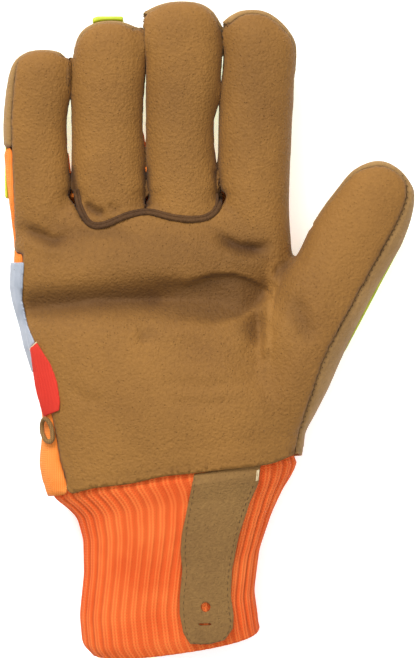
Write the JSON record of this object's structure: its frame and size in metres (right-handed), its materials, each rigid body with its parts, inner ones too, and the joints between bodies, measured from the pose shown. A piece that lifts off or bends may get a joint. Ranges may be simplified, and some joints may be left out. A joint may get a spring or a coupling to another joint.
{
  "type": "impact glove",
  "caption": "Right-hand work glove with a soft leather palm, moulded impact guards on the back, a knitted wrist, a pull strap and a hanging loop.",
  "frame": {"origin": "middle of the underside, where the glove lies on its back", "axes": "+X towards the thumb side, +Y towards the fingertips, +Z out of the palm"},
  "size_m": [0.1732, 0.2754, 0.0427],
  "materials": {
    "palm_leather": "soft grain leather, matt",
    "back_leather": "suede-like grain leather, matt",
    "orange_fabric": "knitted high-visibility fabric",
    "orange_knit": "rib knit, matt",
    "impact_rubber": "moulded, satin",
    "reflective_tape": "retroreflective tape",
    "label_fabric": "woven label",
    "loop_cord": "round cord",
    "seam_leather": "rolled seam, matt"
  },
  "bodies": {
    "root": {"palm_panel": "palm_leather", "ring_finger_front": "palm_leather", "middle_finger_front": "palm_leather", "rolled_seam": "seam_leather", "back_panel": "orange_fabric", "thumb_back": "back_leather", "pinky_cap": "back_leather", "ring_cap": "back_leather", "middle_cap": "back_leather", "index_cap": "back_leather", "reflective_band": "reflective_tape", "wrist_knit": "orange_knit", "pull_strap": "back_leather", "woven_label": "label_fabric", "hanging_loop": "loop_cord", "pinky_guard": "impact_rubber", "ring_guard": "impact_rubber", "middle_guard": "impact_rubber", "index_guard": "impact_rubber", "thumb_guard": "impact_rubber", "knuckle_guard": "impact_rubber"}
  },
  "joints": []
}
